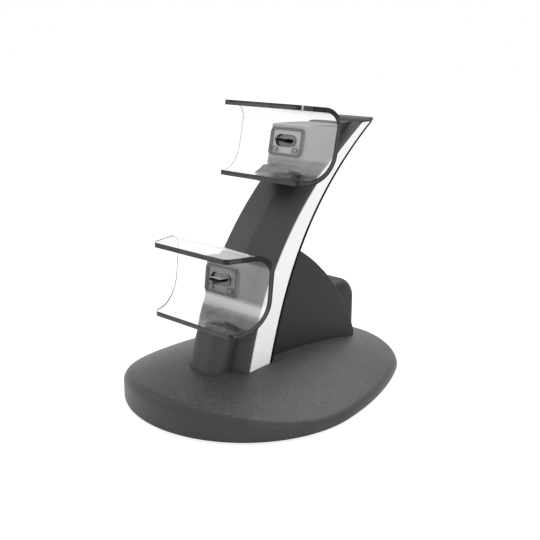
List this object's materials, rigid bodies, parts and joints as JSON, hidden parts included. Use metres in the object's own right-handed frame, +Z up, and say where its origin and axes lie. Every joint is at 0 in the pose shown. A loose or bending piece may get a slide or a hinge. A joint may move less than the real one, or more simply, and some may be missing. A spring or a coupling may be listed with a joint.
{
  "type": "controller charging dock",
  "caption": "Free-standing dock that holds game controllers in clear cradles on a curved column and charges them through plugs at the cradles' backs.",
  "frame": {"origin": "under the middle of the base's length, on the surface that the foot pads stand on", "axes": "+Z up; the cradles open towards -Y, which is the front; +X to the right seen from above with the front below"},
  "size_m": [0.1188, 0.152, 0.1364],
  "materials": {
    "grained_black": "fine matt grain",
    "base_black": "matt",
    "column_black": "satin",
    "pillar_black": "satin",
    "housing_black": "satin",
    "milky_plastic": "milky, satin",
    "clear_plastic": "clear, polished",
    "plated_metal": "plated",
    "plug_black": "matt",
    "screw_steel": "zinc plated",
    "pad_rubber": "matt",
    "seal_grey": "matt",
    "board_green": "solder mask"
  },
  "bodies": {
    "root": {"base_cover": "grained_black", "base_plate": "base_black", "base_screws": "screw_steel", "charge_board": "board_green", "column_front_shell": "column_black", "column_rear_shell": "column_black", "column_screws": "screw_steel", "column_top_cap": "column_black", "cradle_bracket": "pillar_black", "cradle_pillar": "pillar_black", "foot_pad_front_left": "pad_rubber", "foot_pad_front_right": "pad_rubber", "foot_pad_rear_left": "pad_rubber", "foot_pad_rear_right": "pad_rubber", "inlet_tongue": "plug_black", "led_board_left": "board_green", "led_board_right": "board_green", "light_strip_left": "milky_plastic", "light_strip_right": "milky_plastic", "lower_connector_block": "column_black", "lower_cradle": "clear_plastic", "lower_cradle_screws": "screw_steel", "lower_plug_collar": "plug_black", "lower_plug_seal": "seal_grey", "lower_plug_shell": "plated_metal", "lower_plug_tongue": "plug_black", "power_inlet": "plated_metal", "rear_housing": "housing_black", "upper_connector_block": "column_black", "upper_cradle": "clear_plastic", "upper_cradle_screws": "screw_steel", "upper_plug_collar": "plug_black", "upper_plug_seal": "seal_grey", "upper_plug_shell": "plated_metal", "upper_plug_tongue": "plug_black"}
  },
  "joints": []
}
